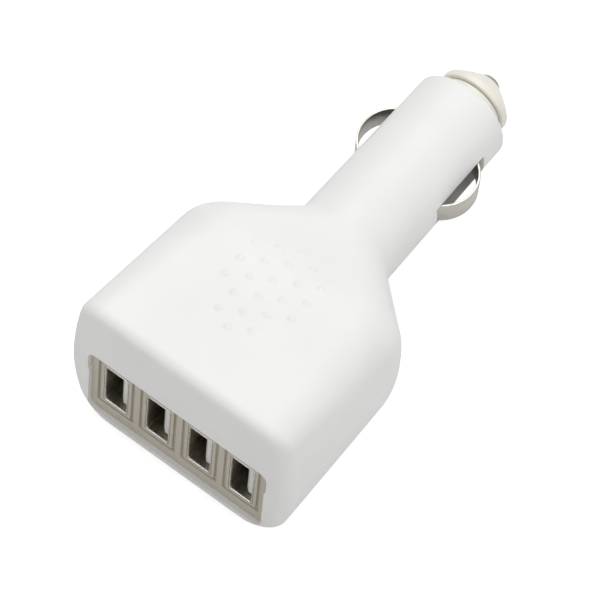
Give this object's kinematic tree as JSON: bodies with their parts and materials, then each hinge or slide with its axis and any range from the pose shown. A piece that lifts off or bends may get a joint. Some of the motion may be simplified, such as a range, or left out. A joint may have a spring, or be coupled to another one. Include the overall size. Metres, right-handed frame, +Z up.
{
  "type": "car usb charger plug",
  "caption": "White car charger plug: wide head with upright USB sockets in a grey panel, round barrel with spring side clips and a sprung tip for a 12 V socket.",
  "frame": {"origin": "centre of the plug's length and width, on the plane of its flat underside", "axes": "+Y along the barrel to the tip, +X across the sockets, +Z up through the head's top"},
  "size_m": [0.0534, 0.1026, 0.0396],
  "materials": {
    "housing": "satin white moulding",
    "fascia": "fine-grained warm grey moulding",
    "socket_steel": "bright plated sheet",
    "tongue": "white insulating plastic",
    "contact_gold": "gold plated",
    "board": "green solder mask",
    "black_parts": "moulded component bodies",
    "ferrite": "sintered ferrite",
    "copper": "enamelled copper wire",
    "can": "shrink sleeve over an aluminium can",
    "red_lead": "wire insulation",
    "black_lead": "wire insulation",
    "brass": "plain sheet brass",
    "spring_steel": "drawn spring wire",
    "fuse_metal": "nickel plated",
    "fuse_glass": "clear tube",
    "tip_metal": "nickel plated, satin",
    "nose": "cream moulding",
    "clip_steel": "rolled spring strip, satin"
  },
  "bodies": {
    "housing": {"housing_top": "housing", "housing_bottom": "housing", "port_fascia": "fascia", "usb_shell_1": "socket_steel", "usb_shell_2": "socket_steel", "usb_shell_3": "socket_steel", "usb_shell_4": "socket_steel", "usb_tongue_1": "tongue", "usb_tongue_2": "tongue", "usb_tongue_3": "tongue", "usb_tongue_4": "tongue", "usb_contacts_1": "contact_gold", "usb_contacts_2": "contact_gold", "usb_contacts_3": "contact_gold", "usb_contacts_4": "contact_gold", "circuit_board": "board", "converter_chip": "black_parts", "rectifier_diode": "black_parts", "chip_resistors": "black_parts", "inductor_core": "ferrite", "inductor_winding": "copper", "input_capacitor": "can", "output_capacitor": "can", "positive_lead": "red_lead", "negative_lead": "black_lead", "ground_bridge": "brass", "positive_terminal": "brass", "contact_spring": "spring_steel", "nose_cap": "nose"},
    "tip": {"tip_contact": "tip_metal", "fuse_cap_front": "fuse_metal", "fuse_glass": "fuse_glass", "fuse_cap_rear": "fuse_metal"},
    "clip_l": {"clip_left": "clip_steel"},
    "clip_r": {"clip_right": "clip_steel"}
  },
  "joints": [
    {"name": "tip_press", "type": "slide", "parent": "housing", "child": "tip", "axis": [0, -1, 0], "range_m": [0, 0.002], "stiffness_N_per_m": 1200, "springref_m": -0.002, "deforming": ["contact_spring"]},
    {"name": "clip_left_flex", "type": "hinge", "parent": "housing", "child": "clip_l", "pos_m": [-0.00745, 0.00568, 0.018], "axis": [0, 0, -1], "range_deg": [0, 8.6], "stiffness_Nm_per_rad": 0.4, "springref_deg": -2.86},
    {"name": "clip_right_flex", "type": "hinge", "parent": "housing", "child": "clip_r", "pos_m": [0.00745, 0.00568, 0.018], "axis": [0, 0, 1], "range_deg": [0, 8.6], "stiffness_Nm_per_rad": 0.4, "springref_deg": -2.86}
  ]
}
